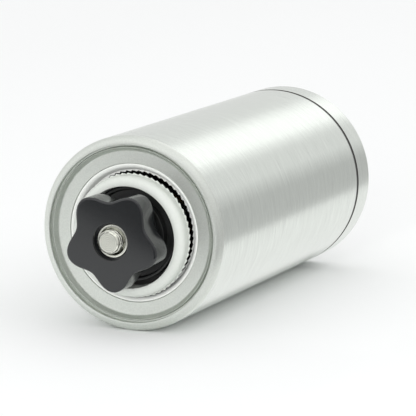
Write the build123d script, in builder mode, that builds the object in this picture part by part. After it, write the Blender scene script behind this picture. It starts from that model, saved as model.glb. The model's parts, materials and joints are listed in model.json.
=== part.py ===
"""A hand mill for coffee, lying on its side: steel tube, ceramic burrs, adjusting knob and lid."""

import math
import os

from build123d import *

os.makedirs("parts", exist_ok=True)

# All sizes are millimetres. A depth is measured along the mill's axis, inwards from a plane close behind
# the crest of the tube's rolled lip at the burr end.
tube_radius = 24.0
tube_wall = 1.4
tube_end_depth = 90.4
lip_depth = -0.3
lip_back_depth = 1.0
lip_bore = 21.8
lip_round = 1.9
inner_lip_round = 0.28
end_break = 0.2

lid_seam = 0.1
seam_ring_width = 0.8
seam_ring_recess = 0.1
lid_end_depth = 100.0
lid_wall = 1.0
lid_round = 1.0

stud_end_depth = -12.4
shaft_end_depth = 108.4
stud_radius = 2.95
stud_chamfer = 0.6
shaft_radius = 4.0

# Clearances: pieces that press together, that are fixed, that turn or slide, and that fit loosely.
touch_gap = 0.02
fixed_gap = 0.05
running_gap = 0.05
loose_gap = 0.15
cutter_margin = 1.0

plate_depth = 1.7
plate_gauge = 0.8
plate_corner_radius = 20.3
plate_hole_radius = 17.08
plate_ridge_depth = 0.4
plate_ridge_radius = 21.15
plate_ridge_foot = 21.5
plate_skirt_depth = 6.5

burr_tooth_count = 60
burr_tooth_height = 0.35
burr_tooth_lead = 0.75
burr_cone_slope = 0.55
burr_zone_depth = 8.0
burr_tooth_twist = 6.0
outer_burr_depth = 1.9
outer_burr_end = 15.0
outer_burr_mouth = 14.83
outer_burr_mouth_depth = 3.65
outer_burr_funnel = 15.35
outer_burr_land = 0.3
outer_burr_rim = 17.02
outer_burr_flange = 19.4
outer_burr_flange_depths = (2.7, 5.4)
outer_burr_throat = 16.0
burr_lug_width = 4.0
burr_lug_radius = 20.4

# The inner burr hangs on the play that it has on its core.
burr_hang = 0.5
inner_burr_depth = 1.2
inner_burr_radius = 15.4
inner_burr_end = 13.8
inner_burr_face_depth = -2.1
inner_burr_shoulder = 14.95
inner_burr_dome = 1.9
inner_burr_mouth = 12.5
inner_burr_mouth_break = 0.15
core_seat_depth = 2.6
core_seat_radius = 12.4
feed_blade_count = 8
feed_blade_heights = (1.4, 0.84)
feed_blade_twist = 24.0
feed_tip_radii = (11.2, 9.2)

housing_end = 20.0
housing_throat = 18.3
gasket_thickness = 0.5

spider_arm_count = 3
spider_arm_width = 4.4
first_arm_angle = 90.0
spider_ring_depths = (20.05, 22.6)
spider_hub_depths = (22.0, 31.0)
spider_hub_radius = 7.4
spider_arm_depths = (21.05, 28.0)
spider_arm_radii = (7.1, 19.5)
screw_circle = 20.4
screw_radius = 1.0
screw_length = 9.0
screw_head_radius = 1.7
screw_head_height = 1.3
screw_head_round = 0.4
screw_head_room = 0.3
screw_slot_width = 0.5
screw_slot_length = 2.4
screw_slot_depth = 0.7
screw_hole_depth = 8.0

bush_radius = 5.5
bush_flange_radius = 6.8
bush_flange_thickness = 0.8
washer_radius = 6.5
washer_thickness = 0.6
clip_thickness = 0.76
clip_groove_radius = 3.3
clip_radius = 6.0
clip_mouth_width = 5.6
clip_mouth_height = 11.0

spring_wire_radius = 0.4
spring_coil_radius = 5.2
spring_turns = 4.0
coil_samples = 40

core_face_depth = -0.4
core_end_depth = 14.5
core_radius = 11.65
core_hub_radius = 7.0
core_boss_radius = 9.0
core_floor_depth = 1.7
core_rim_depth = 0.45
core_rim_width = 0.7
core_rim_slope = 0.3
key_count = 3
first_key_angle = 30.0
key_reach = 2.0
key_width = 1.8
key_length = 3.4
flat_width = 4.6
flat_depths = (-2.6, 16.5)
click_count = 12
click_circle = 6.75
click_groove = (3.0, 1.0)
click_ridge_count = 3
click_ridge = (2.0, 0.7)
click_depth = 0.4

knob_face_depth = -11.3
knob_back_depth = -4.9
knob_hub_depth = -0.85
knob_hub_radius = 8.0
knob_mean_radius = 10.97
knob_lobe_height = 1.41
knob_lobe_count = 5
knob_points_per_lobe = 8
knob_turn = 57.2
knob_edge_round = 0.6
knob_back_round = 0.4
knob_hole_margin = 0.4
insert_radius = 4.15
insert_depths = (-10.1, -0.95)
insert_break = 0.2
insert_chamfer = 0.5

hex_start_depth = 100.4
hex_side_count = 6
hex_across_flats = 6.5
hex_chamfer = 0.4

spigot_radius = 22.3
spigot_start = 85.8
spigot_wall = 2.0
seal_depths = (87.3, 88.9)
seal_radius = 22.5
seal_groove = 1.0
seal_round = 0.3
liner_hub_radius = 8.2
liner_hub_drop = 0.5
liner_floor_height = 3.0
lid_bush_flange = 6.8
lid_bush_room = 0.2
lid_bush_proud = 0.1

# The mill lies along Y with the burr end at minus Y, its box centred on the origin and its lowest line
# on Z = 0.
mid_depth = (stud_end_depth + shaft_end_depth) / 2
mill_axis = Axis((0, 0, tube_radius), (0, 1, 0))
section_plane = Plane(origin=(0, -mid_depth, tube_radius), x_dir=(0, 1, 0), z_dir=(1, 0, 0))
tube_bore = tube_radius - tube_wall


def cross_plane(depth):
    """The plane square to the axis at a depth, seen from the burr end with X right and Z up."""
    return Plane(origin=(0, depth - mid_depth, tube_radius), x_dir=(1, 0, 0), z_dir=(0, -1, 0))


def half_section(*corners):
    """A turned piece's half section, from its (depth, radius) corners."""
    with BuildSketch(section_plane) as section:
        with BuildLine():
            Polyline(*corners, close=True)
        make_face()
    return section.sketch


def ring_section(near, far, inner, outer):
    """The half section of a plain ring between two depths and two radii."""
    return half_section((near, inner), (near, outer), (far, outer), (far, inner))


def saw_teeth(count, tip_radius, root_radius, turn):
    """Points of a saw-toothed ring: each tooth climbs slowly to its tip and drops back steeply."""
    pitch = 2 * math.pi / count
    points = []
    for tooth in range(count):
        start = tooth * pitch + math.radians(turn)
        for radius, angle in ((root_radius, start), (tip_radius, start + burr_tooth_lead * pitch)):
            points.append((radius * math.cos(angle), radius * math.sin(angle)))
    return points


def toothed_face(depth, count, tip_radius, root_radius, turn):
    """A face at a depth with a saw-toothed outline."""
    with BuildSketch(cross_plane(depth)) as face:
        with BuildLine():
            Polyline(*saw_teeth(count, tip_radius, root_radius, turn), close=True)
        make_face()
    return face.sketch


def save(piece, name, drop=0):
    """Name a finished piece and write it as a STEP file, lowered by a drop."""
    part = piece.part.moved(Location((0, 0, -drop)))
    part.label = name
    export_step(part, f"parts/{name}.step")


# The tube is the mill's case and its bean hopper. Its lip at the burr end is rolled inwards to a round bead.
with BuildPart() as body_tube:
    revolve(
        half_section(
            (lip_depth, lip_bore),
            (lip_depth, tube_radius),
            (tube_end_depth, tube_radius),
            (tube_end_depth, tube_bore),
            (lip_back_depth, tube_bore),
            (lip_back_depth, lip_bore),
        ),
        axis=mill_axis,
    )
    lip_edges = body_tube.edges().filter_by(GeomType.CIRCLE).group_by(Axis.Y)[0].sort_by(SortBy.RADIUS)
    fillet(lip_edges[-1], radius=lip_round)
    fillet(lip_edges[0], radius=inner_lip_round)
    mouth_edges = body_tube.edges().filter_by(GeomType.CIRCLE).group_by(Axis.Y)[-1]
    chamfer(mouth_edges, length=end_break)
save(body_tube, "body_tube")

# The pressed end plate closes the tube round the burrs: a ridge beside the lip, a flat and a skirt.
skirt_radius = tube_bore - fixed_gap
skirt_start = lip_back_depth + fixed_gap
with BuildPart() as burr_plate:
    revolve(
        half_section(
            (skirt_start, skirt_radius),
            (skirt_start, plate_ridge_foot),
            (plate_ridge_depth, plate_ridge_radius),
            (plate_depth, plate_corner_radius),
            (plate_depth, plate_hole_radius),
            (plate_depth + plate_gauge, plate_hole_radius),
            (plate_depth + plate_gauge, skirt_radius - plate_gauge),
            (plate_skirt_depth, skirt_radius - plate_gauge),
            (plate_skirt_depth, skirt_radius),
        ),
        axis=mill_axis,
    )
save(burr_plate, "burr_plate")

# The outer burr is a ceramic ring: a smooth funnel, a toothed cone, a flange behind the plate and two lugs.
flange_near, flange_far = outer_burr_flange_depths
burr_neck = outer_burr_mouth - burr_cone_slope * (burr_zone_depth - outer_burr_mouth_depth)
with BuildPart() as outer_burr:
    revolve(
        half_section(
            (outer_burr_depth, outer_burr_rim - outer_burr_land),
            (outer_burr_depth, outer_burr_rim),
            (flange_near, outer_burr_rim),
            (flange_near, outer_burr_flange),
            (flange_far, outer_burr_flange),
            (flange_far, outer_burr_rim),
            (outer_burr_end, outer_burr_rim),
            (outer_burr_end, 0),
            (outer_burr_mouth_depth, 0),
            (outer_burr_mouth_depth, outer_burr_funnel),
        ),
        axis=mill_axis,
    )
    with BuildSketch(cross_plane(flange_far)):
        Rectangle(2 * burr_lug_radius, burr_lug_width)
        Circle(outer_burr_rim, mode=Mode.SUBTRACT)
    extrude(amount=flange_far - flange_near)
    loft(
        [
            toothed_face(
                outer_burr_mouth_depth,
                burr_tooth_count,
                outer_burr_mouth + burr_tooth_height,
                outer_burr_mouth,
                0,
            ),
            toothed_face(
                burr_zone_depth, burr_tooth_count, burr_neck + burr_tooth_height, burr_neck, burr_tooth_twist
            ),
        ],
        ruled=True,
        mode=Mode.SUBTRACT,
    )
    revolve(
        half_section(
            (burr_zone_depth, 0),
            (burr_zone_depth, burr_neck + burr_tooth_height),
            (outer_burr_end, outer_burr_throat),
            (outer_burr_end, 0),
        ),
        axis=mill_axis,
        mode=Mode.SUBTRACT,
    )
save(outer_burr, "outer_burr")

# A soft ring between the outer burr's flange and the housing takes up the play.
gasket_near = flange_far + touch_gap
gasket_bore = outer_burr_rim + loose_gap
with BuildPart() as burr_gasket:
    revolve(
        ring_section(gasket_near, gasket_near + gasket_thickness, gasket_bore, outer_burr_flange),
        axis=mill_axis,
    )
save(burr_gasket, "burr_gasket")

# The moulded housing seats the outer burr, funnels the beans into it and carries the bearing spider.
seat_depth = gasket_near + gasket_thickness + touch_gap
seat_radius = outer_burr_flange + loose_gap
housing_near = plate_depth + plate_gauge + fixed_gap
housing_nose = skirt_radius - plate_gauge - loose_gap
housing_radius = tube_bore - 2 * fixed_gap
housing_bore = outer_burr_rim + 2 * fixed_gap
housing_step = plate_skirt_depth + 2 * fixed_gap
housing_lip = outer_burr_end + 2 * fixed_gap
with BuildPart() as burr_housing:
    revolve(
        half_section(
            (housing_near, seat_radius),
            (housing_near, housing_nose),
            (housing_step, housing_nose),
            (housing_step, housing_radius),
            (housing_end, housing_radius),
            (housing_end, housing_throat),
            (housing_lip, outer_burr_throat + loose_gap),
            (housing_lip, housing_bore),
            (seat_depth, housing_bore),
            (seat_depth, seat_radius),
        ),
        axis=mill_axis,
    )
    with BuildSketch(cross_plane(seat_depth)):
        Rectangle(2 * (burr_lug_radius + loose_gap), burr_lug_width + 2 * loose_gap)
    extrude(amount=seat_depth - housing_near, mode=Mode.SUBTRACT)
    with BuildSketch(cross_plane(housing_end)):
        with PolarLocations(screw_circle, spider_arm_count, start_angle=first_arm_angle):
            Circle(screw_radius + fixed_gap)
    extrude(amount=screw_hole_depth, mode=Mode.SUBTRACT)
save(burr_housing, "burr_housing")

# The spider holds the shaft's bush on the axis. Beans fall between its arms.
ring_near, ring_far = spider_ring_depths
hub_near, hub_far = spider_hub_depths
arm_near, arm_far = spider_arm_depths
arm_inner, arm_outer = spider_arm_radii
with BuildPart() as bearing_spider:
    revolve(ring_section(ring_near, ring_far, housing_throat, housing_radius), axis=mill_axis)
    revolve(ring_section(hub_near, hub_far, bush_radius + fixed_gap, spider_hub_radius), axis=mill_axis)
    with BuildSketch(cross_plane(arm_far)):
        with PolarLocations((arm_inner + arm_outer) / 2, spider_arm_count, start_angle=first_arm_angle):
            Rectangle(arm_outer - arm_inner, spider_arm_width)
    extrude(amount=arm_far - arm_near)
    with BuildSketch(cross_plane(ring_far)):
        with PolarLocations(screw_circle, spider_arm_count, start_angle=first_arm_angle):
            Circle(screw_head_radius + screw_head_room)
    extrude(amount=ring_far - arm_far, mode=Mode.SUBTRACT)
    with BuildSketch(cross_plane(ring_far)):
        with PolarLocations(screw_circle, spider_arm_count, start_angle=first_arm_angle):
            Circle(screw_radius + 2 * fixed_gap)
    extrude(amount=ring_far - ring_near, mode=Mode.SUBTRACT)
save(bearing_spider, "bearing_spider")

# Three pan-head screws fix the spider to the housing.
screw_seat = ring_far + touch_gap
screw_top = screw_seat + screw_head_height
with BuildPart() as spider_screws:
    with BuildSketch(cross_plane(screw_seat)):
        with PolarLocations(screw_circle, spider_arm_count, start_angle=first_arm_angle):
            Circle(screw_radius)
    extrude(amount=screw_length)
    with BuildSketch(cross_plane(screw_top)):
        with PolarLocations(screw_circle, spider_arm_count, start_angle=first_arm_angle):
            Circle(screw_head_radius)
    extrude(amount=screw_head_height)
    head_edges = spider_screws.edges().filter_by(GeomType.CIRCLE).group_by(Axis.Y)[-1]
    fillet(head_edges, radius=screw_head_round)
    with BuildSketch(cross_plane(screw_top)):
        with PolarLocations(screw_circle, spider_arm_count, start_angle=first_arm_angle):
            Rectangle(screw_slot_length, screw_slot_width)
            Rectangle(screw_slot_width, screw_slot_length)
    extrude(amount=screw_slot_depth, mode=Mode.SUBTRACT)
save(spider_screws, "spider_screws")

# The flanged bush is the shaft's bearing.
bush_near = hub_near - bush_flange_thickness - fixed_gap
with BuildPart() as spindle_bush:
    revolve(
        half_section(
            (bush_near, shaft_radius + running_gap),
            (bush_near, bush_flange_radius),
            (bush_near + bush_flange_thickness, bush_flange_radius),
            (bush_near + bush_flange_thickness, bush_radius),
            (hub_far, bush_radius),
            (hub_far, shaft_radius + running_gap),
        ),
        axis=mill_axis,
    )
save(spindle_bush, "spindle_bush")

# The shaft: threaded stud at the burr end, two flats for the burr, round journal and six-sided drive end.
clip_near = hub_far + fixed_gap + washer_thickness + fixed_gap
clip_far = clip_near + clip_thickness + 2 * fixed_gap
flats_near, flats_far = flat_depths
with BuildPart() as drive_shaft:
    revolve(
        half_section(
            (stud_end_depth, 0),
            (stud_end_depth, stud_radius - stud_chamfer),
            (stud_end_depth + stud_chamfer, stud_radius),
            (flats_far, stud_radius),
            (flats_far, shaft_radius),
            (clip_near, shaft_radius),
            (clip_near, clip_groove_radius),
            (clip_far, clip_groove_radius),
            (clip_far, shaft_radius),
            (shaft_end_depth, shaft_radius),
            (shaft_end_depth, 0),
        ),
        axis=mill_axis,
    )
    with BuildSketch(cross_plane(flats_far)):
        Circle(stud_radius + cutter_margin)
        Rectangle(2 * (stud_radius + cutter_margin), flat_width, mode=Mode.SUBTRACT)
    extrude(amount=flats_far - flats_near, mode=Mode.SUBTRACT)
    with BuildSketch(cross_plane(shaft_end_depth)):
        Circle(shaft_radius + cutter_margin)
        RegularPolygon(hex_across_flats / 2, hex_side_count, major_radius=False, mode=Mode.SUBTRACT)
    extrude(amount=shaft_end_depth - hex_start_depth, mode=Mode.SUBTRACT)
    chamfer(drive_shaft.faces().sort_by(Axis.Y)[-1].edges(), length=hex_chamfer)
save(drive_shaft, "drive_shaft")

# A washer and a spring clip above the bush keep the shaft from dropping through it.
with BuildPart() as thrust_washer:
    revolve(
        ring_section(
            hub_far + fixed_gap,
            hub_far + fixed_gap + washer_thickness,
            shaft_radius + running_gap,
            washer_radius,
        ),
        axis=mill_axis,
    )
save(thrust_washer, "thrust_washer")

with BuildPart() as retaining_clip:
    revolve(
        ring_section(
            clip_near + fixed_gap, clip_far - fixed_gap, clip_groove_radius + fixed_gap, clip_radius
        ),
        axis=mill_axis,
    )
    with BuildSketch(cross_plane(clip_far)):
        with Locations((0, clip_radius)):
            Rectangle(clip_mouth_width, clip_mouth_height)
    extrude(amount=clip_far - clip_near, mode=Mode.SUBTRACT)
save(retaining_clip, "retaining_clip")

# The spring pushes the inner burr away from the bush, out against the knob.
spring_washer_far = bush_near - fixed_gap
spring_washer_near = spring_washer_far - washer_thickness
with BuildPart() as spring_washer:
    revolve(
        ring_section(spring_washer_near, spring_washer_far, shaft_radius + running_gap, washer_radius),
        axis=mill_axis,
    )
save(spring_washer, "spring_washer")

spring_near = core_end_depth + spring_wire_radius + fixed_gap
spring_far = spring_washer_near - spring_wire_radius - fixed_gap
with BuildPart() as burr_spring:
    with BuildLine():
        coil = Helix(
            pitch=(spring_far - spring_near) / spring_turns,
            height=spring_far - spring_near,
            radius=spring_coil_radius,
            center=(0, spring_near - mid_depth, tube_radius),
            direction=(0, 1, 0),
        )
    with BuildSketch(Plane(origin=coil @ 0, z_dir=coil % 0)):
        Circle(spring_wire_radius)
    sweep(path=coil, is_frenet=True)
one_turn = 1 / spring_turns
coil_steps = [step / coil_samples * (1 - one_turn) for step in range(coil_samples + 1)]
turn_distance = min(((coil @ (place + one_turn)) - (coil @ place)).length for place in coil_steps)
print("least gap between the spring's turns, mm:", round(turn_distance - 2 * spring_wire_radius, 2))
save(burr_spring, "burr_spring")

# The inner burr is a ceramic cone: fine teeth at the wide end, feed blades above, a hollow for its core.
burr_play = burr_hang + 2 * fixed_gap
core_bore_radius = core_hub_radius + burr_play
zone_tip = inner_burr_radius - burr_cone_slope * (burr_zone_depth - inner_burr_depth)
feed_tip, feed_end_tip = feed_tip_radii
feed_height, feed_end_height = feed_blade_heights
with BuildPart() as inner_burr:
    revolve(ring_section(inner_burr_face_depth, inner_burr_depth, 0, inner_burr_shoulder), axis=mill_axis)
    dome_edge = inner_burr.edges().filter_by(GeomType.CIRCLE).group_by(Axis.Y)[0]
    fillet(dome_edge, radius=inner_burr_dome)
    loft(
        [
            toothed_face(
                inner_burr_depth,
                burr_tooth_count,
                inner_burr_radius,
                inner_burr_radius - burr_tooth_height,
                0,
            ),
            toothed_face(
                burr_zone_depth, burr_tooth_count, zone_tip, zone_tip - burr_tooth_height, burr_tooth_twist
            ),
        ],
        ruled=True,
    )
    loft(
        [
            toothed_face(burr_zone_depth, feed_blade_count, feed_tip, feed_tip - feed_height, 0),
            toothed_face(
                inner_burr_end,
                feed_blade_count,
                feed_end_tip,
                feed_end_tip - feed_end_height,
                feed_blade_twist,
            ),
        ],
        ruled=True,
    )
    revolve(
        half_section(
            (inner_burr_face_depth, 0),
            (inner_burr_face_depth, inner_burr_mouth + inner_burr_mouth_break),
            (inner_burr_face_depth + inner_burr_mouth_break, inner_burr_mouth),
            (core_seat_depth, core_seat_radius),
            (core_seat_depth, core_bore_radius),
            (inner_burr_end, core_bore_radius),
            (inner_burr_end, 0),
        ),
        axis=mill_axis,
        mode=Mode.SUBTRACT,
    )
    with BuildSketch(cross_plane(core_seat_depth + key_length)):
        with PolarLocations(core_bore_radius, key_count, start_angle=first_key_angle):
            Rectangle(key_reach + 2 * burr_play, key_width + 2 * burr_play)
    extrude(amount=key_length, mode=Mode.SUBTRACT)
save(inner_burr, "inner_burr", drop=burr_hang)

# The moulded core keys the burr to the shaft's flats: a raised rim, a channel, and a boss with click grooves.
core_back = core_seat_depth - fixed_gap
with BuildPart() as burr_core:
    revolve(
        half_section(
            (core_face_depth, 0),
            (core_face_depth, core_boss_radius),
            (core_floor_depth, core_boss_radius),
            (core_floor_depth, core_radius - core_rim_width - core_rim_slope),
            (core_rim_depth, core_radius - core_rim_width),
            (core_rim_depth, core_radius - end_break),
            (core_rim_depth + end_break, core_radius),
            (core_back, core_radius),
            (core_back, core_hub_radius),
            (core_end_depth, core_hub_radius),
            (core_end_depth, 0),
        ),
        axis=mill_axis,
    )
    with BuildSketch(cross_plane(core_back + key_length)):
        with PolarLocations(core_hub_radius, key_count, start_angle=first_key_angle):
            Rectangle(key_reach, key_width)
    extrude(amount=key_length)
    with BuildSketch(cross_plane(core_end_depth)):
        Circle(stud_radius + running_gap)
        Rectangle(2 * (stud_radius + cutter_margin), flat_width + 2 * running_gap, mode=Mode.INTERSECT)
    extrude(amount=core_end_depth - core_face_depth, mode=Mode.SUBTRACT)
    with BuildSketch(cross_plane(core_face_depth)):
        with PolarLocations(click_circle, click_count):
            Rectangle(*click_groove)
    extrude(amount=-click_depth, mode=Mode.SUBTRACT)
save(burr_core, "burr_core")

# The five-lobed adjusting knob screws along the stud and sets how far the burrs stand apart.
insert_near, insert_far = insert_depths
lobe_points = []
knob_point_count = knob_points_per_lobe * knob_lobe_count
for step in range(knob_point_count):
    angle = 2 * math.pi * step / knob_point_count
    lobe_phase = knob_lobe_count * (angle - math.radians(knob_turn))
    radius = knob_mean_radius + knob_lobe_height * math.cos(lobe_phase)
    lobe_points.append((radius * math.cos(angle), radius * math.sin(angle)))
with BuildPart() as adjusting_knob:
    with BuildSketch(cross_plane(knob_back_depth)):
        with BuildLine():
            Spline(*lobe_points, periodic=True)
        make_face()
    extrude(amount=knob_back_depth - knob_face_depth)
    fillet(adjusting_knob.faces().sort_by(Axis.Y)[0].edges(), radius=knob_edge_round)
    fillet(adjusting_knob.faces().sort_by(Axis.Y)[-1].edges(), radius=knob_back_round)
    with BuildSketch(cross_plane(knob_hub_depth)):
        Circle(knob_hub_radius)
    extrude(amount=knob_hub_depth - knob_back_depth)
    with BuildSketch(cross_plane(knob_hub_depth)):
        with PolarLocations(click_circle, click_ridge_count):
            Rectangle(*click_ridge)
    extrude(amount=-click_depth)
    revolve(
        half_section(
            (knob_face_depth, 0),
            (knob_face_depth, insert_radius + knob_hole_margin),
            (insert_near, insert_radius + knob_hole_margin),
            (insert_near, insert_radius + fixed_gap),
            (knob_hub_depth, insert_radius + fixed_gap),
            (knob_hub_depth, 0),
        ),
        axis=mill_axis,
        mode=Mode.SUBTRACT,
    )
save(adjusting_knob, "adjusting_knob")

# The metal insert carries the knob's thread.
insert_bore = stud_radius + running_gap
with BuildPart() as knob_insert:
    revolve(
        half_section(
            (insert_near, insert_bore + insert_chamfer),
            (insert_near, insert_radius - insert_break),
            (insert_near + insert_break, insert_radius),
            (insert_far, insert_radius),
            (insert_far, insert_bore),
            (insert_near + insert_chamfer, insert_bore),
        ),
        axis=mill_axis,
    )
save(knob_insert, "knob_insert")

# The lid is a steel cap, as wide as the tube, with a hole for the shaft's bush. A black ring of its liner
# shows between the cap and the tube.
seam_ring_near = tube_end_depth + lid_seam
seam_ring_far = seam_ring_near + seam_ring_width
seam_ring_radius = tube_radius - seam_ring_recess
lid_start_depth = seam_ring_far + fixed_gap
lid_hole = lid_bush_flange + lid_bush_room
with BuildPart() as lid_cap:
    revolve(
        half_section(
            (lid_start_depth, tube_radius - lid_wall),
            (lid_start_depth, tube_radius),
            (lid_end_depth, tube_radius),
            (lid_end_depth, lid_hole),
            (lid_end_depth - lid_wall, lid_hole),
            (lid_end_depth - lid_wall, tube_radius - lid_wall),
        ),
        axis=mill_axis,
    )
    far_edges = lid_cap.edges().filter_by(GeomType.CIRCLE).group_by(Axis.Y)[-1].sort_by(SortBy.RADIUS)
    fillet(far_edges[-1], radius=lid_round)
    near_edges = lid_cap.edges().filter_by(GeomType.CIRCLE).group_by(Axis.Y)[0].sort_by(SortBy.RADIUS)
    chamfer(near_edges[-1], length=end_break)
save(lid_cap, "lid_cap")

# A moulded liner inside the cap plugs the tube's mouth and holds the bush.
liner_flange = tube_radius - lid_wall - 2 * fixed_gap
liner_end = lid_end_depth - lid_wall - fixed_gap
liner_floor = lid_start_depth + liner_floor_height
liner_hub_start = lid_start_depth - liner_hub_drop
groove_radius = spigot_radius - seal_groove
seal_near, seal_far = seal_depths
with BuildPart() as lid_liner:
    revolve(
        half_section(
            (spigot_start, spigot_radius - spigot_wall),
            (spigot_start, spigot_radius),
            (seal_near, spigot_radius),
            (seal_near, groove_radius),
            (seal_far, groove_radius),
            (seal_far, spigot_radius),
            (seam_ring_near, spigot_radius),
            (seam_ring_near, seam_ring_radius),
            (seam_ring_far, seam_ring_radius),
            (seam_ring_far, liner_flange),
            (liner_end, liner_flange),
            (liner_end, bush_radius + fixed_gap),
            (liner_hub_start, bush_radius + fixed_gap),
            (liner_hub_start, liner_hub_radius),
            (liner_floor, liner_hub_radius),
            (liner_floor, spigot_radius - spigot_wall),
        ),
        axis=mill_axis,
    )
save(lid_liner, "lid_liner")

with BuildPart() as lid_seal:
    revolve(
        ring_section(seal_near + fixed_gap, seal_far - fixed_gap, groove_radius + fixed_gap, seal_radius),
        axis=mill_axis,
    )
    fillet(lid_seal.edges().filter_by(GeomType.CIRCLE).sort_by(SortBy.RADIUS)[-2:], radius=seal_round)
save(lid_seal, "lid_seal")

lid_bush_bore = shaft_radius + 2 * running_gap
lid_bush_end = lid_end_depth + lid_bush_proud
with BuildPart() as lid_bush:
    revolve(
        half_section(
            (liner_hub_start, lid_bush_bore),
            (liner_hub_start, bush_radius),
            (liner_end + fixed_gap, bush_radius),
            (liner_end + fixed_gap, lid_bush_flange),
            (lid_bush_end, lid_bush_flange),
            (lid_bush_end, lid_bush_bore),
        ),
        axis=mill_axis,
    )
save(lid_bush, "lid_bush")
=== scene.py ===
# %% [markdown]
# # A hand coffee mill, lying on its side
#
# The mill is a brushed steel tube with a lid at one end and two ceramic burrs at the other, and a black
# knob that sets how finely it grinds. The CAD model already has every piece at its real size and place,
# so the script loads it as a fixed frame. It then models the pieces that show again, with softer edges
# and finer detail, and gives every piece the finish of its real material.

import json
import math

import bmesh
import bpy
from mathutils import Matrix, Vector

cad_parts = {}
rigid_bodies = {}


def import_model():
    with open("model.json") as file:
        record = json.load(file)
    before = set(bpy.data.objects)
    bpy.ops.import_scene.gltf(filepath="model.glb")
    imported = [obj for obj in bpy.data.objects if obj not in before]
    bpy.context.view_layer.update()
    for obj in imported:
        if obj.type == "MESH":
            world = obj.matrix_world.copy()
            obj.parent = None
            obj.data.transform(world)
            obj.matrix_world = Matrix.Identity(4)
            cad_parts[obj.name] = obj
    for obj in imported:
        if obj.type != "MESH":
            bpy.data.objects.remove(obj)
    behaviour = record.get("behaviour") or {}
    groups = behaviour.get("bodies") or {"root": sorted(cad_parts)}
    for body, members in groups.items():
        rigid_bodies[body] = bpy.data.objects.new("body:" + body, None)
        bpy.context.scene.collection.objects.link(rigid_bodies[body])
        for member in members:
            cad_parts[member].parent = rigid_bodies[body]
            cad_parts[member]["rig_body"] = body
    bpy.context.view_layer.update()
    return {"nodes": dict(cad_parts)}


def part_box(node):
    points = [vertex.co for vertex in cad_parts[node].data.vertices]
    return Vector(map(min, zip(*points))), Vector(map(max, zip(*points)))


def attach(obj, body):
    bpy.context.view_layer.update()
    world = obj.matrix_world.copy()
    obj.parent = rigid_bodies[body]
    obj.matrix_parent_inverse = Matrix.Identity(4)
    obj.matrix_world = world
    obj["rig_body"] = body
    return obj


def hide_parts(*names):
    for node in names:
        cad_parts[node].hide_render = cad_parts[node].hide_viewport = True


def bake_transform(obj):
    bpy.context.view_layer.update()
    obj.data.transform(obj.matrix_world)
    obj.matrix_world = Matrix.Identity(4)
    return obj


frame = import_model()

# %% [markdown]
# ## Measure from the axis
#
# Nearly everything here was turned on a lathe, so a point is best named the way a turner would: how deep
# it lies inside the rim, how far it is from the axis, and where round the axis it sits. The tube gives
# the axis, and its rolled lip stands a little proud of the plane that depths are counted from. Sizes
# below are in millimetres, and one function turns them into a point.

# %% Find the axis and the rim
MM = 0.001
LIP_DEPTH = -0.3
UP = math.pi / 2

tube_low, tube_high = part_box("body_tube")
RIM = Vector((0, tube_low.y - LIP_DEPTH * MM, (tube_low.z + tube_high.z) / 2))


def place(depth, radius, angle=UP):
    """The point at a depth inside the rim and a radius from the axis. The angle runs from +X to +Z."""
    return RIM + MM * Vector((radius * math.cos(angle), depth, radius * math.sin(angle)))


def turned_size(node):
    """A turned node's near depth, far depth and outer radius, in millimetres."""
    low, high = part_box(node)
    return (low.y - RIM.y) / MM, (high.y - RIM.y) / MM, (high.x - low.x) / 2 / MM


tube_end, tube_radius = turned_size("body_tube")[1:]
print(f"the tube is {tube_end - LIP_DEPTH:.1f} mm long and {2 * tube_radius:.1f} mm across")

# %% [markdown]
# ## Camera
#
# The photograph was taken with a long lens from a little above, looking at the burr end from its right.
# The angles and the lens were fitted to the rings of the burr end, the lid's seam and the outline of the
# tube, so the ends have the same tilt and the far end shrinks by the same amount.

# %% Stand the camera
VIEW_AZIMUTH = math.radians(23.95)
VIEW_ELEVATION = math.radians(10.07)
VIEW_DISTANCE = 723.8 * MM
VIEW_AIM = Vector((-0.6, -0.47, 22.67)) * MM
LONG_LENS = 243.35

to_camera = Vector((
    math.sin(VIEW_AZIMUTH) * math.cos(VIEW_ELEVATION),
    -math.cos(VIEW_AZIMUTH) * math.cos(VIEW_ELEVATION),
    math.sin(VIEW_ELEVATION),
))
camera = bpy.data.objects.new("camera", bpy.data.cameras.new("camera"))
bpy.context.scene.collection.objects.link(camera)
camera.data.lens = LONG_LENS
camera.location = VIEW_AIM + VIEW_DISTANCE * to_camera
camera.rotation_euler = to_camera.to_track_quat("Z", "Y").to_euler()
bpy.context.scene.camera = camera
print("the camera stands at", [round(side, 3) for side in camera.location])

# %% [markdown]
# ## Colours and nodes
#
# A colour is easiest to pick as a web colour, but shaders count in linear light, so one function turns
# the one into the other. A second small function adds a node, sets it up and links it in one line, which
# keeps each finish short enough to read as a recipe. Every finish here has a pattern that shows twice, as
# a slight change of colour and as a slight relief, so the last function does both.

# %% Helpers for every finish
BUMP_STRENGTH = 0.4
NOISE_DETAIL = 3


def linear(web_colour, gain=1.0):
    """A web colour such as #8090A0 as linear red, green, blue and alpha, made lighter by a gain."""
    shades = [int(web_colour[start:start + 2], 16) / 255 for start in (1, 3, 5)]
    return [gain * (s / 12.92 if s <= 0.04045 else ((s + 0.055) / 1.055) ** 2.4) for s in shades] + [1]


def add_node(tree, kind, inputs, **settings):
    """Add a node. An input is a value, or another node's output socket to link."""
    node = tree.nodes.new(kind)
    for name, setting in settings.items():
        setattr(node, name, setting)
    for name, value in inputs.items():
        if isinstance(value, bpy.types.NodeSocket):
            tree.links.new(value, node.inputs[name])
        else:
            node.inputs[name].default_value = value
    return node


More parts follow.
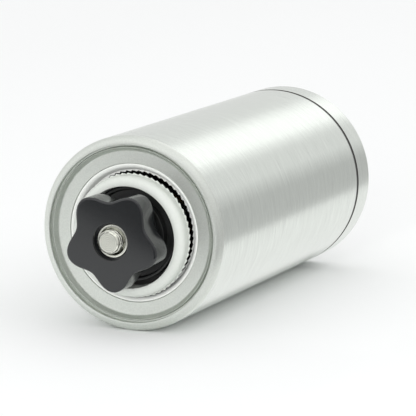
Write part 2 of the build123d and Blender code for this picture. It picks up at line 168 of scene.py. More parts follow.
def start_finish(name, web_colour, roughness, metallic=0.0):
    """A new material: its node tree and its shader, with a first colour and roughness."""
    finish = bpy.data.materials.new(name)
    finish.use_nodes = True
    shader = finish.node_tree.nodes["Principled BSDF"]
    shader.inputs["Base Color"].default_value = linear(web_colour)
    shader.inputs["Roughness"].default_value = roughness
    shader.inputs["Metallic"].default_value = metallic
    return finish, finish.node_tree, shader


def draw_pattern(tree, shader, pattern, web_colour, contrast, relief):
    """Let a pattern from 0 to 1 darken and lighten the colour, and raise the surface by millimetres."""
    tint = add_node(tree, "ShaderNodeMixRGB", {
        "Fac": pattern,
        "Color1": linear(web_colour, 1 - contrast),
        "Color2": linear(web_colour, 1 + contrast),
    })
    tree.links.new(tint.outputs[0], shader.inputs["Base Color"])
    bump = add_node(
        tree, "ShaderNodeBump", {"Height": pattern, "Strength": BUMP_STRENGTH, "Distance": relief * MM}
    )
    tree.links.new(bump.outputs[0], shader.inputs["Normal"])


print("mid grey in linear light:", [round(shade, 3) for shade in linear("#808080")])

# %% [markdown]
# ## Floor and light
#
# The mill lies on white paper between two soft lamps. The floor is a wide plain sheet, bright enough to be
# nearly white and still show the shadow. The world is white wherever the camera or a reflection sees it,
# and gives a softer, plainer light to the surfaces themselves.

# %% Lay the floor
FLOOR_HALF = 4.0
PAPER_SHINE = 0.1


def keep_stage(shape, name, finish):
    """Make a shape part of the stage: it shows in the picture, but isn't part of the mill."""
    mesh = bpy.data.meshes.new(name)
    shape.to_mesh(mesh)
    shape.free()
    mesh.materials.append(finish)
    prop = bpy.data.objects.new(name, mesh)
    bpy.context.scene.collection.objects.link(prop)
    return prop


paper, _, paper_shader = start_finish("white paper", "#F7F8F8", 0.9)
paper_shader.inputs["Specular IOR Level"].default_value = PAPER_SHINE
floor_shape = bmesh.new()
bmesh.ops.create_grid(floor_shape, x_segments=1, y_segments=1, size=FLOOR_HALF)
keep_stage(floor_shape, "floor", paper)
print("floor:", 2 * FLOOR_HALF, "m wide")

# %% Light the room
ROOM_LIGHT = 0.97

world = bpy.data.worlds.new("white room")
world.use_nodes = True
bpy.context.scene.world = world
room = world.node_tree
room.nodes.clear()
path = add_node(room, "ShaderNodeLightPath", {})
seen = path.outputs["Is Camera Ray"]
for ray in ("Is Glossy Ray", "Is Transmission Ray"):
    seen = add_node(room, "ShaderNodeMath", {0: seen, 1: path.outputs[ray]}, use_clamp=True).outputs[0]
level = add_node(room, "ShaderNodeMapRange", {"Value": seen, "To Min": ROOM_LIGHT, "To Max": 1.0})
white = add_node(room, "ShaderNodeBackground", {"Color": linear("#FFFFFF"), "Strength": level.outputs[0]})
add_node(room, "ShaderNodeOutputWorld", {"Surface": white.outputs[0]})
bpy.context.scene.view_settings.view_transform = "Standard"
print("the room lights surfaces at", ROOM_LIGHT)

# %% Hang the lamps
def hang_lamp(name, spot, width, watts):
    """A square soft lamp at a spot in metres, turned to the mill and out of the camera's sight."""
    lamp = bpy.data.objects.new(name, bpy.data.lights.new(name, "AREA"))
    bpy.context.scene.collection.objects.link(lamp)
    lamp.data.size = width
    lamp.data.energy = watts
    lamp.location = spot
    lamp.rotation_euler = (lamp.location - VIEW_AIM).to_track_quat("Z", "Y").to_euler()
    lamp.visible_camera = False
    print(name, "gives", watts, "W")


hang_lamp("front softbox", (0.2, -1.25, 0.3), 0.5, 4.0)
hang_lamp("right softbox", (0.9, -0.3, 0.9), 0.8, 1.5)

# %% [markdown]
# ## Cards
#
# Polished metal in an all-white room looks like paper, because it has only white to reflect. A
# photographer puts white and grey cards round it, out of the picture, and the metal draws them as bright
# and dark bands that show its shape. A long bright card hangs over the tube, grey ones stand on both sides,
# a white strip lies at its foot, and a dark one lies in front, where the camera would be. Only reflections
# see them, so they cast no shadow and hide nothing.

# %% Stand the cards
CARD_LIFT = 0.5


def stand_card(name, bends, along, low_grey, high_grey, low=0.0, high=1.0):
    """A strip folded at its bends and pulled along, in millimetres. Its grey changes from low to high."""
    shape = bmesh.new()
    corners = [shape.verts.new((Vector(bend) + Vector((0, 0, CARD_LIFT))) * MM) for bend in bends]
    edges = [shape.edges.new(ends) for ends in zip(corners, corners[1:])]
    pulled = bmesh.ops.extrude_edge_only(shape, edges=edges)["geom"]
    far_corners = [item for item in pulled if isinstance(item, bmesh.types.BMVert)]
    bmesh.ops.translate(shape, verts=far_corners, vec=Vector(along) * MM)
    paint = bpy.data.materials.new(name)
    paint.use_nodes = True
    tree = paint.node_tree
    tree.nodes.clear()
    spot = add_node(tree, "ShaderNodeTexCoord", {})
    axes = add_node(tree, "ShaderNodeSeparateXYZ", {"Vector": spot.outputs["Object"]})
    grey = add_node(tree, "ShaderNodeMapRange", {
        "Value": axes.outputs["Z"],
        "From Min": low * MM,
        "From Max": high * MM,
        "To Min": low_grey,
        "To Max": high_grey,
    })
    glow = add_node(tree, "ShaderNodeEmission", {"Strength": grey.outputs[0]})
    add_node(tree, "ShaderNodeOutputMaterial", {"Surface": glow.outputs[0]})
    card = keep_stage(shape, name, paint)
    card.visible_camera = False
    card.visible_diffuse = False
    card.visible_shadow = False
    print(name, "has", len(card.data.polygons), "panels")


BACKWARDS = (0, 1900, 0)
stand_card("bright card", [(-120, 250, 600), (260, 250, 600)], BACKWARDS, 1.35, 1.35)
stand_card("right card", [(64, -600, 0), (150, -600, 0), (150, -600, 240)], BACKWARDS, 0.58, 0.84, 50, 110)
stand_card("left card", [(-300, -100, 60), (-300, -100, 900)], BACKWARDS, 0.85, 0.85)
stand_card("white strip", [(14, -46, 0), (64, -46, 0)], BACKWARDS, 1.0, 1.0)
front_bends = [(-392, -517, 0), (-286, -623, 0), (-286, -623, 200)]
stand_card("front card", front_bends, (459, 459, 0), 0.16, 0.6, 0, 200)

# %% [markdown]
# ## Brushed stainless steel
#
# The tube and the lid were spun against an abrasive belt, so fine scratches run round them. Each scratch
# is smooth along its length and rough across it: reflections stay crisp round the tube and smear out
# along it, which draws long bright bands. Anisotropy gives the smear. A noise that is long round the
# tube and short along it gives the scratches that the eye can pick out.

# %% Brush the steel
SCRATCH_WIDTH = 0.18
SCRATCH_LENGTH = 5.0
SCRATCH_CONTRAST = 0.2
SCRATCH_RELIEF = 0.012
SMEAR = 0.85
QUARTER_TURN = 0.25


def brushed_steel(name, web_colour, roughness):
    """Stainless steel with scratches round the Y axis. Real scratches are finer than a pixel."""
    finish, tree, shader = start_finish(name, web_colour, roughness, metallic=1.0)
    shader.inputs["Anisotropic"].default_value = SMEAR
    shader.inputs["Anisotropic Rotation"].default_value = QUARTER_TURN
    around = add_node(tree, "ShaderNodeTangent", {}, direction_type="RADIAL", axis="Y")
    tree.links.new(around.outputs["Tangent"], shader.inputs["Tangent"])
    spot = add_node(tree, "ShaderNodeTexCoord", {})
    centre = add_node(tree, "ShaderNodeMapping", {"Vector": spot.outputs["Object"], "Location": -RIM})
    axes = add_node(tree, "ShaderNodeSeparateXYZ", {"Vector": centre.outputs[0]})
    x, y, z = axes.outputs
    spoke = add_node(tree, "ShaderNodeCombineXYZ", {"X": x, "Z": z})
    radius = add_node(tree, "ShaderNodeVectorMath", {0: spoke.outputs[0]}, operation="LENGTH")
    # Depth plus radius changes across the scratches, on the round wall and on the flat end alike.
    across = add_node(tree, "ShaderNodeMath", {0: y, 1: radius.outputs["Value"]}, operation="ADD")
    wrap = add_node(tree, "ShaderNodeCombineXYZ", {"X": x, "Y": across.outputs[0], "Z": z})
    fine, long = 1 / (SCRATCH_WIDTH * MM), 1 / (SCRATCH_LENGTH * MM)
    stretch = add_node(tree, "ShaderNodeMapping", {"Vector": wrap.outputs[0], "Scale": (long, fine, long)})
    scratch = add_node(
        tree, "ShaderNodeTexNoise", {"Vector": stretch.outputs[0], "Scale": 1, "Detail": NOISE_DETAIL}
    )
    draw_pattern(tree, shader, scratch.outputs["Fac"], web_colour, SCRATCH_CONTRAST, SCRATCH_RELIEF)
    return finish


tube_steel = brushed_steel("stainless steel brushed round", "#DEE3DD", 0.18)
print("made", tube_steel.name)

# %% [markdown]
# ## Satin steel and other even grains
#
# The rolled lip and the end plate were pressed and not brushed, so their satin surface has an even fine
# grain with no direction, and reflects only broad light and shade. Ceramic, rubber, bronze and nylon have
# an even grain too, so one recipe with different sizes and colours serves them all.

# %% Make an even grain
SATIN_GRAIN = 0.35
SHADE_GRAIN = 0.2
GRAIN_RELIEF = 0.05


def grainy(name, web_colour, roughness, grain, contrast, metallic=0.0):
    """An even grain of a size in millimetres, which mottles the colour a little and roughens the skin."""
    finish, tree, shader = start_finish(name, web_colour, roughness, metallic)
    spot = add_node(tree, "ShaderNodeTexCoord", {})
    noise = add_node(
        tree,
        "ShaderNodeTexNoise",
        {"Vector": spot.outputs["Object"], "Scale": 1 / (grain * MM), "Detail": NOISE_DETAIL},
    )
    draw_pattern(tree, shader, noise.outputs["Fac"], web_colour, contrast, GRAIN_RELIEF * grain)
    print("made", name)
    return finish


# The real grain is finer than a pixel; drawn at this size, it just takes the mirror off the metal.
satin_steel = grainy("stainless sheet satin pressed", "#DCE0DA", 0.42, SATIN_GRAIN, 0.12, metallic=1.0)
# Painted shade: dark dull steel for the edges at the lid's seam and the thread's grooves, where shade
# falls.
shade_dark_steel = grainy("stainless steel painted dark as shade", "#3E3B35", 0.5, SHADE_GRAIN, 0.3, metallic=1.0)

# %% [markdown]
# ## Turning on the lathe
#
# A turned piece is one outline spun round the axis, so the modelling follows the making: draw half the
# section, spin it, then round the edges that a file or a press would have rounded. The bevel's small
# faces would pull the smooth shading of the big ones askew, so the normals are weighted by face size.

# %% Spin, round and keep
LATHE_STEPS = 192
TOUCH = 0.01
SHARP_ANGLE = math.radians(40)


def turn_ring(*outline):
    """A ring whose section is a closed outline of (depth, radius) corners, spun once round the axis."""
    shape = bmesh.new()
    corners = [shape.verts.new(place(depth, radius)) for depth, radius in outline]
    edges = [shape.edges.new((corners[step - 1], corner)) for step, corner in enumerate(corners)]
    bmesh.ops.spin(
        shape,
        geom=corners + edges,
        cent=RIM,
        axis=(0, 1, 0),
        angle=2 * math.pi,
        steps=LATHE_STEPS,
        use_merge=True,
    )
    bmesh.ops.remove_doubles(shape, verts=shape.verts, dist=TOUCH * MM / 10)
    bmesh.ops.recalc_face_normals(shape, faces=shape.faces)
    return shape


def round_ring(shape, depth, radius, size, segments=5):
    """Round the edge that runs round the axis at a depth. Its radius is a number or a rule of the angle."""
    ring = []
    for edge in shape.edges:
        spots = [(vertex.co - RIM) / MM for vertex in edge.verts]
        wanted = [radius(math.atan2(s.z, s.x)) if callable(radius) else radius for s in spots]
        gaps = [abs(math.hypot(s.x, s.z) - w) + abs(s.y - depth) for s, w in zip(spots, wanted)]
        if max(gaps) < TOUCH:
            ring.append(edge)
    bmesh.ops.bevel(
        shape, geom=ring, offset=size * MM, affect="EDGES", segments=segments, profile=0.5, material=-1
    )


def finish_between(shape, near, far, number=1):
    """Give the faces between two depths another of the piece's finishes, counted from 0."""
    for face in shape.faces:
        if near < (face.calc_center_median().y - RIM.y) / MM < far:
            face.material_index = number


def keep_piece(shape, name, node, *finishes, stretch=None):
    """Make a shape an object that rides with its CAD node's body; given a stretch, it stays fixed where it
    is.
    """
    mesh = bpy.data.meshes.new(name)
    shape.to_mesh(mesh)
    shape.free()
    mesh.shade_smooth()
    mesh.set_sharp_from_angle(angle=SHARP_ANGLE)
    for finish in finishes:
        mesh.materials.append(finish)
    piece = bpy.data.objects.new(name, mesh)
    bpy.context.scene.collection.objects.link(piece)
    normals = piece.modifiers.new("weighted normals", "WEIGHTED_NORMAL")
    normals.keep_sharp = True
    if stretch:
        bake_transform(piece)
    else:
        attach(piece, frame["nodes"][node]["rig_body"])
    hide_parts(node)
    print(f"{name}: {len(mesh.polygons)} faces")


# %% [markdown]
# ## The tube
#
# The tube is the mill's case and the hopper for its beans. Its lip at the burr end is rolled over to a
# soft round edge that turns in a little, which takes the brushing off it, so the lip is satin. The mouth
# at the other end is only broken with a file, and that narrow edge is painted dark as shade for the seam.

# %% Turn the tube
TUBE_WALL = 1.4
LIP_BACK = 1.0
LIP_BORE = 21.8
LIP_ROUND = 1.9
INNER_LIP_ROUND = 0.28
END_BREAK = 0.2

tube_bore = tube_radius - TUBE_WALL
tube = turn_ring(
    (LIP_DEPTH, LIP_BORE),
    (LIP_DEPTH, tube_radius),
    (tube_end, tube_radius),
    (tube_end, tube_bore),
    (LIP_BACK, tube_bore),
    (LIP_BACK, LIP_BORE),
)
round_ring(tube, LIP_DEPTH, tube_radius, LIP_ROUND, segments=12)
round_ring(tube, LIP_DEPTH, LIP_BORE, INNER_LIP_ROUND)
round_ring(tube, tube_end, tube_radius, END_BREAK, segments=3)
round_ring(tube, tube_end, tube_bore, END_BREAK, segments=3)
finish_between(tube, LIP_DEPTH - LIP_ROUND, LIP_DEPTH + LIP_ROUND)
# The mouth's broken edge gets the steel painted dark as shade.
finish_between(tube, tube_end - END_BREAK, tube_end, number=2)
keep_piece(tube, "brushed_tube", "body_tube", tube_steel, satin_steel, shade_dark_steel)

# %% [markdown]
# ## The lid's cap
#
# The cap is spun from the same steel, as wide as the tube. The thin dark seam between them is the rim of
# the black liner inside the lid, and the broken edges on both sides, painted dark as shade, widen it a
# little.

# %% Turn the cap
CAP_WALL = 1.0
CAP_ROUND = 1.0
CAP_HOLE = 7.0

cap_near, cap_far, cap_radius = turned_size("lid_cap")
cap = turn_ring(
    (cap_near, cap_radius - CAP_WALL),
    (cap_near, cap_radius),
    (cap_far, cap_radius),
    (cap_far, CAP_HOLE),
    (cap_far - CAP_WALL, CAP_HOLE),
    (cap_far - CAP_WALL, cap_radius - CAP_WALL),
)
round_ring(cap, cap_near, cap_radius, END_BREAK, segments=3)
round_ring(cap, cap_far, cap_radius, CAP_ROUND, segments=8)
round_ring(cap, cap_far, CAP_HOLE, END_BREAK, segments=3)
# The cap's near broken edge gets the steel painted dark as shade.
finish_between(cap, cap_near, cap_near + END_BREAK)
keep_piece(cap, "spun_cap", "lid_cap", tube_steel, shade_dark_steel)

# %% [markdown]
# ## The end plate
#
# A pressed steel plate closes the tube round the burrs. It is dished: a ridge beside the tube's lip, a
# slope and a flat with a large hole.

# %% Turn the end plate
PLATE_GAUGE = 0.8
PLATE_DEPTH = 1.7
PLATE_CORNER = 20.3
PLATE_HOLE = 17.08
RIDGE_RADIUS = 21.15
RIDGE_FOOT = 21.5
RIDGE_FOOT_DEPTH = 1.05
PRESS_ROUND = 0.3

ridge_depth, skirt_end, skirt_radius = turned_size("burr_plate")
plate_back = PLATE_DEPTH + PLATE_GAUGE
plate = turn_ring(
    (RIDGE_FOOT_DEPTH, skirt_radius),
    (RIDGE_FOOT_DEPTH, RIDGE_FOOT),
    (ridge_depth, RIDGE_RADIUS),
    (PLATE_DEPTH, PLATE_CORNER),
    (PLATE_DEPTH, PLATE_HOLE),
    (plate_back, PLATE_HOLE),
    (plate_back, skirt_radius - PLATE_GAUGE),
    (skirt_end, skirt_radius - PLATE_GAUGE),
    (skirt_end, skirt_radius),
)
round_ring(plate, ridge_depth, RIDGE_RADIUS, PRESS_ROUND / 2)
round_ring(plate, PLATE_DEPTH, PLATE_CORNER, PRESS_ROUND)
round_ring(plate, PLATE_DEPTH, PLATE_HOLE, PRESS_ROUND / 2, segments=3)
keep_piece(plate, "pressed_plate", "burr_plate", satin_steel)

# %% [markdown]
# ## The ceramic burrs
#
# Two rings of white sintered ceramic grind the beans between them. The inner one is a cone with a rounded
# front, the outer one a slightly swelling funnel, and both have fine saw teeth. Spinning can't make teeth,
# so a ring of edges is pulled from station to station along the axis instead, and at each station every
# vertex is set to its own radius. A number kept on each vertex says which part of a tooth it is.

# %% Fire the ceramic
CERAMIC_GRAIN = 0.6

# Matt and nearly even, with the faint cloudiness and dry skin of a fired powder.
ceramic = grainy("white sintered ceramic", "#F2F4F0", 0.42, CERAMIC_GRAIN, 0.05)
# The inner burr is the same ceramic as the outer one, in a darker copy painted as shade because its proud
# front catches more light.
shaded_copy_ceramic = grainy("white ceramic painted darker as shade", "#D8DCD6", 0.42, CERAMIC_GRAIN, 0.05)
# The grinding flanks are painted near black as shade, so the gap between the burrs reads as a black line.
gap_shade_ceramic = grainy("ceramic painted dark as gap shade", "#13110F", 0.5, CERAMIC_GRAIN, 0.3)

# %% Pull a ring along the axis
RING_STEPS = 240
TOOTH_TIP = 0.75


def toothed(root, height, count):
    """A rule for the radius of a saw-toothed ring: a slow climb to each tip, then a steep drop."""
    def radius_at(angle):
        phase = count * angle / (2 * math.pi) % 1
        return root + height * min(phase / TOOTH_TIP, (1 - phase) / (1 - TOOTH_TIP))
    return radius_at


def pull_sleeve(stations):
    """A sleeve and its end edges. Each station is a depth, a radius or rule, and a turn in degrees."""
    shape = bmesh.new()
    step_of = shape.verts.layers.int.new("step")
    vertices = bmesh.ops.create_circle(shape, segments=RING_STEPS, radius=1)["verts"]
    for step, vertex in enumerate(vertices):
        vertex[step_of] = step
    edges = first_edges = shape.edges[:]
    for number, (depth, radius, turn) in enumerate(stations):
        if number:
            pulled = bmesh.ops.extrude_edge_only(shape, edges=edges)["geom"]
            vertices = {item for item in pulled if isinstance(item, bmesh.types.BMVert)}
            edges = [item for item in pulled if isinstance(item, bmesh.types.BMEdge)]
            edges = [edge for edge in edges if vertices.issuperset(edge.verts)]
        for vertex in vertices:
            angle = 2 * math.pi * vertex[step_of] / RING_STEPS
            reach = radius(angle) if callable(radius) else radius
            vertex.co = place(depth, reach, angle + math.radians(turn))
    return shape, first_edges, edges


def pull_ring(*stations):
    """A closed ring: a sleeve whose last station is joined back to its first."""
    shape, first_edges, last_edges = pull_sleeve(stations)
    bmesh.ops.bridge_loops(shape, edges=first_edges + last_edges)
    bmesh.ops.recalc_face_normals(shape, faces=shape.faces)
    return shape


def pull_bar(*stations):
    """A solid bar: a sleeve with a face across each end."""
    shape, first_edges, last_edges = pull_sleeve(stations)
    bmesh.ops.holes_fill(shape, edges=first_edges + last_edges)
    bmesh.ops.recalc_face_normals(shape, faces=shape.faces)
    return shape


print("a ring has", RING_STEPS, "steps")

# %% Make the outer burr
BURR_TEETH = 60
TOOTH_HEIGHT = 0.35
TOOTH_TWIST = 6.0
TOOTH_ZONE = 8.0
OUTER_RIM = 17.02
OUTER_LAND = 0.3
OUTER_SWELL = 16.0
OUTER_SWELL_DEPTH = 2.45
OUTER_FUNNEL = 15.35
OUTER_MOUTH = 14.83
OUTER_MOUTH_DEPTH = 3.65
OUTER_NECK = 12.44
OUTER_THROAT = 16.0
FLANGE_RADIUS = 19.4
FLANGE_NEAR = 2.7
FLANGE_FAR = 5.4
CERAMIC_ROUND = 0.15

outer_near, outer_far = turned_size("outer_burr")[:2]
outer_burr = pull_ring(
    (outer_near, OUTER_RIM, 0),
    (outer_near, OUTER_RIM - OUTER_LAND, 0),
    (OUTER_SWELL_DEPTH, OUTER_SWELL, 0),
    (OUTER_MOUTH_DEPTH, OUTER_FUNNEL, 0),
    (OUTER_MOUTH_DEPTH, toothed(OUTER_MOUTH, TOOTH_HEIGHT, BURR_TEETH), 0),
    (TOOTH_ZONE, toothed(OUTER_NECK, TOOTH_HEIGHT, BURR_TEETH), TOOTH_TWIST),
    (TOOTH_ZONE, OUTER_NECK + TOOTH_HEIGHT, TOOTH_TWIST),
    (outer_far, OUTER_THROAT, TOOTH_TWIST),
    (outer_far, OUTER_RIM, TOOTH_TWIST),
    (FLANGE_FAR, OUTER_RIM, 0),
    (FLANGE_FAR, FLANGE_RADIUS, 0),
    (FLANGE_NEAR, FLANGE_RADIUS, 0),
    (FLANGE_NEAR, OUTER_RIM, 0),
)
round_ring(outer_burr, outer_near, OUTER_RIM, CERAMIC_ROUND / 2, segments=2)
round_ring(outer_burr, OUTER_SWELL_DEPTH, OUTER_SWELL, 2 * CERAMIC_ROUND)
# The outer burr's flanks inside the gap get the ceramic painted dark as shade.
finish_between(outer_burr, OUTER_MOUTH_DEPTH + TOUCH, TOOTH_ZONE)
keep_piece(outer_burr, "outer_burr_ring", "outer_burr", ceramic, gap_shade_ceramic)

# %% [markdown]
# The inner burr hangs a little low, on the play that it has on its core. Its CAD node lies there already,
# so the node's box says how far to lower the piece.

# %% Make the inner burr
INNER_SHOULDER = 14.95
INNER_RIM = 15.05
INNER_RIM_DEPTH = 1.2
INNER_NECK = 11.31
INNER_MOUTH = 12.5
DOME_ROUND = 1.9
CORE_SEAT = 2.6
CORE_SEAT_RADIUS = 12.4
CORE_BORE = 7.6
FEED_BLADES = 8
FEED_ROOT = 9.8
FEED_HEIGHT = 1.4
FEED_END_ROOT = 8.36
FEED_END_HEIGHT = 0.84
FEED_TWIST = 24.0

inner_low, inner_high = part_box("inner_burr")
burr_hang = Vector((0, 0, (inner_low.z + inner_high.z) / 2 - RIM.z))
inner_front, inner_far = turned_size("inner_burr")[:2]
inner_burr = pull_ring(
    (CORE_SEAT, CORE_SEAT_RADIUS, 0),
    (inner_front, INNER_MOUTH, 0),
    (inner_front, INNER_SHOULDER, 0),
    (INNER_RIM_DEPTH, INNER_SHOULDER, 0),
    (INNER_RIM_DEPTH, toothed(INNER_RIM, TOOTH_HEIGHT, BURR_TEETH), 0),
    (TOOTH_ZONE, toothed(INNER_NECK, TOOTH_HEIGHT, BURR_TEETH), TOOTH_TWIST),
    (TOOTH_ZONE, toothed(FEED_ROOT, FEED_HEIGHT, FEED_BLADES), 0),
    (inner_far, toothed(FEED_END_ROOT, FEED_END_HEIGHT, FEED_BLADES), FEED_TWIST),
    (inner_far, CORE_BORE, FEED_TWIST),
    (CORE_SEAT, CORE_BORE, 0),
)
round_ring(inner_burr, inner_front, INNER_SHOULDER, DOME_ROUND, segments=10)
round_ring(inner_burr, inner_front, INNER_MOUTH, CERAMIC_ROUND, segments=3)
# The inner burr's flanks inside the gap get the ceramic painted dark as shade.
finish_between(inner_burr, INNER_RIM_DEPTH + TOUCH, TOOTH_ZONE)
bmesh.ops.translate(inner_burr, verts=inner_burr.verts, vec=burr_hang)
# The inner burr wears the darker copy of the white ceramic, painted as shade.
keep_piece(inner_burr, "inner_burr_cone", "inner_burr", shaded_copy_ceramic, gap_shade_ceramic)

# %% [markdown]
# ## The black core
#
# A moulded core keys the inner burr to the shaft. It sits in the burr's mouth like a plug: a boss in the
# middle, a sunk channel round it and a thin raised rim outside. Moulded nylon is black all through and has
# a slight satin skin, so it shows only soft streaks of light on its edges.

# %% Mould the black parts
MOULD_GRAIN = 0.5
MOULD_CONTRAST = 0.15
MOULD_RELIEF = 0.005
MOULDING_IOR = 1.65


def black_moulding(name, web_colour, roughness, texture):
    """Moulded black plastic: a dark even colour, with a finely uneven gloss left by the mould."""
    finish, tree, shader = start_finish(name, web_colour, roughness)
    spot = add_node(tree, "ShaderNodeTexCoord", {})
    skin = add_node(
        tree,
        "ShaderNodeTexNoise",
        {"Vector": spot.outputs["Object"], "Scale": 1 / (MOULD_GRAIN * MM), "Detail": NOISE_DETAIL},
    )
    gloss = add_node(tree, "ShaderNodeMapRange", {
        "Value": skin.outputs["Fac"],
        "To Min": roughness - texture,
        "To Max": roughness + texture,
    })
    tree.links.new(gloss.outputs[0], shader.inputs["Roughness"])
    shader.inputs["IOR"].default_value = MOULDING_IOR
    draw_pattern(tree, shader, skin.outputs["Fac"], web_colour, MOULD_CONTRAST, MOULD_RELIEF)
    print("made", name)
    return finish


# Satin and nearly black, so the core reads as a dark well inside the white ring.
black_nylon = black_moulding("black nylon moulded", "#1A1C1B", 0.42, 0.08)

# %% Turn the core
CORE_FACE = -0.4
CORE_BOSS = 9.0
CORE_FLOOR = 1.7
CORE_CHANNEL = 10.65
CORE_RIM_DEPTH = 0.45
CORE_RIM = 10.95
CORE_HOLE = 3.0
CORE_HUB = 7.0
CORE_GAP = 0.05
CORE_ROUND = 0.2

core_far, core_radius = turned_size("burr_core")[1:]
core = turn_ring(
    (CORE_FACE, CORE_HOLE),
    (CORE_FACE, CORE_BOSS),
    (CORE_FLOOR, CORE_BOSS),
    (CORE_FLOOR, CORE_CHANNEL),
    (CORE_RIM_DEPTH, CORE_RIM),
    (CORE_RIM_DEPTH, core_radius),
    (CORE_SEAT - CORE_GAP, core_radius),
    (CORE_SEAT - CORE_GAP, CORE_HUB),
    (core_far, CORE_HUB),
    (core_far, CORE_HOLE),
)
round_ring(core, CORE_FACE, CORE_BOSS, CORE_ROUND, segments=4)
round_ring(core, CORE_RIM_DEPTH, core_radius, CORE_ROUND, segments=4)
round_ring(core, CORE_RIM_DEPTH, CORE_RIM, CORE_ROUND / 2, segments=3)
keep_piece(core, "moulded_core", "burr_core", black_nylon)

# %% [markdown]
# ## The adjusting knob
#
# The five-lobed knob is a hard black moulding with a semi-gloss skin. Its outline is a circle whose
# radius swells and shrinks five times on the way round, so one cosine gives every lobe and hollow. The
# same pulled ring makes its walls, and a bevel gives the small round edge that catches the light.

# %% Mould the knob
KNOB_MEAN = 10.97
KNOB_SWELL = 1.41
KNOB_LOBES = 5
KNOB_TURN = math.radians(57.2)
KNOB_BACK = -4.9
KNOB_FOOT = -0.85
KNOB_HUB = 8.0
KNOB_HOLE = 4.55
HOLE_FOOT = 4.2
KNOB_ROUND = 0.6
KNOB_BACK_ROUND = 0.4
HOLE_ROUND = 0.1


def lobed(angle):
    """The radius of the knob's five-lobed outline."""
    return KNOB_MEAN + KNOB_SWELL * math.cos(KNOB_LOBES * (angle - KNOB_TURN))


knob_face = turned_size("adjusting_knob")[0]
insert_face, insert_far, insert_radius = turned_size("knob_insert")
knob = pull_ring(
    (knob_face, KNOB_HOLE, 0),
    (knob_face, lobed, 0),
    (KNOB_BACK, lobed, 0),
    (KNOB_BACK, KNOB_HUB, 0),
    (KNOB_FOOT, KNOB_HUB, 0),
    (KNOB_FOOT, HOLE_FOOT, 0),
    (insert_face, HOLE_FOOT, 0),
    (insert_face, KNOB_HOLE, 0),
)
round_ring(knob, knob_face, lobed, KNOB_ROUND, segments=6)
round_ring(knob, KNOB_BACK, lobed, KNOB_BACK_ROUND, segments=4)
round_ring(knob, knob_face, KNOB_HOLE, HOLE_ROUND, segments=3)
# Harder and glossier than nylon. Its colour is painted slightly blue, a painted reflection of the room.
knob_plastic = black_moulding("black phenolic moulded", "#17191B", 0.15, 0.03)
keep_piece(knob, "lobed_knob", "adjusting_knob", knob_plastic)

# %% [markdown]
# ## Shaft and insert
#
# The steel stud in the middle is the end of the drive shaft. It carries the knob on a screw thread, and
# the knob holds a steel insert with the matching thread. Both were turned on a lathe, which leaves fine
# rings round the axis, and their bare metal is a little warmer than the tube's.

# %% Turn the bright steel
TURNING_PITCH = 0.45
TURNING_WOBBLE = 1.5
TURNING_CONTRAST = 0.15
TURNING_RELIEF = 0.02
WAVE_RADIANS = 20


def turned_steel(name, web_colour, roughness):
    """Lathe-turned steel: rings round the Y axis, a little coarser than the real tool marks."""
    finish, tree, shader = start_finish(name, web_colour, roughness, metallic=1.0)
    spot = add_node(tree, "ShaderNodeTexCoord", {})
    centre = add_node(tree, "ShaderNodeMapping", {"Vector": spot.outputs["Object"], "Location": -RIM})
    # The wave texture counts in radians, with a fixed number of them to its unit of length.
    scale = 2 * math.pi / (WAVE_RADIANS * TURNING_PITCH * MM)
    rings = add_node(
        tree,
        "ShaderNodeTexWave",
        {"Vector": centre.outputs[0], "Scale": scale, "Distortion": TURNING_WOBBLE},
        wave_type="RINGS",
        rings_direction="Y",
    )
    draw_pattern(tree, shader, rings.outputs["Fac"], web_colour, TURNING_CONTRAST, TURNING_RELIEF)
    print("made", name)
    return finish


bright_steel = turned_steel("stainless steel turned", "#E4E5DB", 0.25)

# %% Turn the insert
INSERT_HOLE = 3.0
INSERT_CHAMFER = 0.5
INSERT_BREAK = 0.2

insert = turn_ring(
    (insert_face, INSERT_HOLE + INSERT_CHAMFER),
    (insert_face, insert_radius),
    (insert_far, insert_radius),
    (insert_far, INSERT_HOLE),
    (insert_face + INSERT_CHAMFER, INSERT_HOLE),
)
round_ring(insert, insert_face, insert_radius, INSERT_BREAK, segments=3)
keep_piece(insert, "threaded_insert", "knob_insert", bright_steel)

# %% [markdown]
# A screw thread is a ridge that climbs as it goes round. So at each station the radius is a rule of the
# angle, and the rule's crest moves on with the depth: a millimetre for each turn. The rest of the shaft
# is pulled in the same way, with rules for the two flats that drive the burr and for the six-sided end
# that takes the crank.

# %% Make the shaft
STUD_RADIUS = 2.95
STUD_CHAMFER = 0.6
THREAD_PITCH = 1.0
THREAD_HEIGHT = 0.5
THREAD_END = -9.0
THREAD_START = math.radians(35)
THREAD_STEPS = 10
FLAT_NEAR = -2.6
FLAT_FAR = 16.5
FLAT_WIDTH = 4.6
SHAFT_RADIUS = 4.0
CLIP_GROOVE = 3.3
CLIP_PLAY = 0.05
HEX_START = 100.4
HEX_WIDTH = 6.5
HEX_CHAMFER = 0.4

stud_end, shaft_end = turned_size("drive_shaft")[:2]
clip_near, clip_far = turned_size("retaining_clip")[:2]


def threaded(depth):
    """The rule for the radius of the thread at a depth, cut off by the chamfer on the stud's end."""
    def radius_at(angle):
        phase = (depth / THREAD_PITCH + (angle - THREAD_START) / (2 * math.pi)) % 1
        ridge = STUD_RADIUS - THREAD_HEIGHT * abs(2 * phase - 1)
        return min(ridge, STUD_RADIUS - STUD_CHAMFER + depth - stud_end)
    return radius_at


def flatted(angle):
    """The stud's radius with a flat above and below."""
    return STUD_RADIUS / max(1, 2 * STUD_RADIUS / FLAT_WIDTH * abs(math.sin(angle)))


def six_sided(width):
    """The rule for the radius of a six-sided bar of a width across its flats."""
    def radius_at(angle):
        return width / 2 / math.cos(angle % (math.pi / 3) - math.pi / 6)
    return radius_at


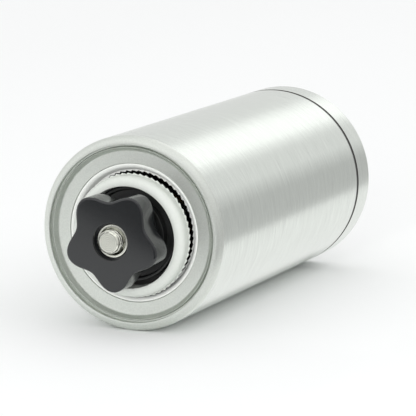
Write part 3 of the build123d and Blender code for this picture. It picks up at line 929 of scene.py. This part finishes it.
thread_count = round((THREAD_END - stud_end) / THREAD_PITCH * THREAD_STEPS)
thread_depths = [stud_end + step * THREAD_PITCH / THREAD_STEPS for step in range(thread_count)]
shaft = pull_bar(
    *((depth, threaded(depth), 0) for depth in thread_depths),
    (THREAD_END, STUD_RADIUS, 0),
    (FLAT_NEAR, STUD_RADIUS, 0),
    (FLAT_NEAR, flatted, 0),
    (FLAT_FAR, flatted, 0),
    (FLAT_FAR, SHAFT_RADIUS, 0),
    (clip_near - CLIP_PLAY, SHAFT_RADIUS, 0),
    (clip_near - CLIP_PLAY, CLIP_GROOVE, 0),
    (clip_far + CLIP_PLAY, CLIP_GROOVE, 0),
    (clip_far + CLIP_PLAY, SHAFT_RADIUS, 0),
    (HEX_START, SHAFT_RADIUS, 0),
    (HEX_START, six_sided(HEX_WIDTH), 0),
    (shaft_end - HEX_CHAMFER, six_sided(HEX_WIDTH), 0),
    (shaft_end, six_sided(HEX_WIDTH - 2 * HEX_CHAMFER), 0),
)
# The grooves are painted dark as shade, so the thread's ridges stand out.
for face in shaft.faces:
    spot = (face.calc_center_median() - RIM) / MM
    in_groove = math.hypot(spot.x, spot.z) < STUD_RADIUS - THREAD_HEIGHT / 2
    if in_groove and stud_end + STUD_CHAMFER < spot.y < THREAD_END:
        face.material_index = 1
    # The six-sided end is milled flat, with no rings.
    if spot.y > HEX_START + TOUCH:
        face.material_index = 2
keep_piece(shaft, "threaded_shaft", "drive_shaft", bright_steel, shade_dark_steel, satin_steel)

# %% [markdown]
# ## The spring
#
# A small spring presses the inner burr against the knob. It was wound from drawn wire, so the model is
# wound too: the wire's round section goes round the axis and moves on a little at each step. In the real
# mill its far end stays on the shaft's washer and its near end follows the burr, so it stretches as the
# burr moves out; here it stays fixed at its CAD node's length.

# %% Wind the spring
WIRE_RADIUS = 0.4
WIRE_SIDES = 12
SPRING_TURNS = 4
WIRE_GRAIN = 0.2

spring_near, spring_far, spring_radius = turned_size("burr_spring")
winding_steps = SPRING_TURNS * LATHE_STEPS // 4
climb = (spring_far - spring_near - 2 * WIRE_RADIUS) / winding_steps
spring = bmesh.new()
wire = bmesh.ops.create_circle(spring, segments=WIRE_SIDES, radius=WIRE_RADIUS * MM)["verts"]
wire_start = place(spring_near + WIRE_RADIUS, spring_radius - WIRE_RADIUS, 0)
bmesh.ops.translate(spring, verts=wire, vec=wire_start)
start_edges = spring.edges[:]
wound = bmesh.ops.spin(
    spring,
    geom=wire + start_edges,
    cent=RIM,
    axis=(0, 1, 0),
    dvec=(0, climb * MM, 0),
    angle=SPRING_TURNS * 2 * math.pi,
    steps=winding_steps,
)
end_edges = [item for item in wound["geom_last"] if isinstance(item, bmesh.types.BMEdge)]
bmesh.ops.holes_fill(spring, edges=start_edges + end_edges)
bmesh.ops.recalc_face_normals(spring, faces=spring.faces)
# Darker than the turned steel, with the dull streaky skin that drawing leaves.
spring_wire = grainy("spring steel drawn", "#A9AAAA", 0.35, WIRE_GRAIN, 0.15, metallic=1.0)
ends = place(spring_far, 0), place(spring_near, 0)
keep_piece(spring, "wound_spring", "burr_spring", spring_wire, stretch=("spindle", "burr_carrier", *ends))

# %% [markdown]
# ## The pieces inside
#
# The other pieces are hidden in the tube or show only in chinks, and the CAD shapes serve as they are.
# Each still gets the finish of its own material, so the mill can be opened, turned and looked into.

# %% Dress the pieces inside
RUBBER_GRAIN = 0.4
BRONZE_GRAIN = 0.25
NYLON_GRAIN = 0.8

silicone = grainy("grey silicone rubber", "#8C8E90", 0.55, RUBBER_GRAIN, 0.06)
# Pressed from powder and soaked in oil, so it is darker than solid bronze and mottled by its pores.
bronze = grainy("sintered bronze", "#7A603C", 0.5, BRONZE_GRAIN, 0.2, metallic=1.0)
# Undyed nylon is a little cloudy and yellowish.
natural_nylon = grainy("natural nylon", "#E2E0D6", 0.45, NYLON_GRAIN, 0.04)


def dress(finish, *nodes):
    """Give CAD nodes that are shown as they are a finish."""
    for node in nodes:
        mesh = frame["nodes"][node].data
        mesh.materials.clear()
        mesh.materials.append(finish)
    print(finish.name, "on", ", ".join(nodes))


dress(black_nylon, "burr_housing", "bearing_spider", "lid_liner")
dress(silicone, "burr_gasket", "lid_seal")
dress(bronze, "spindle_bush")
dress(bright_steel, "spider_screws", "thrust_washer", "spring_washer")
dress(spring_wire, "retaining_clip")
dress(natural_nylon, "lid_bush")
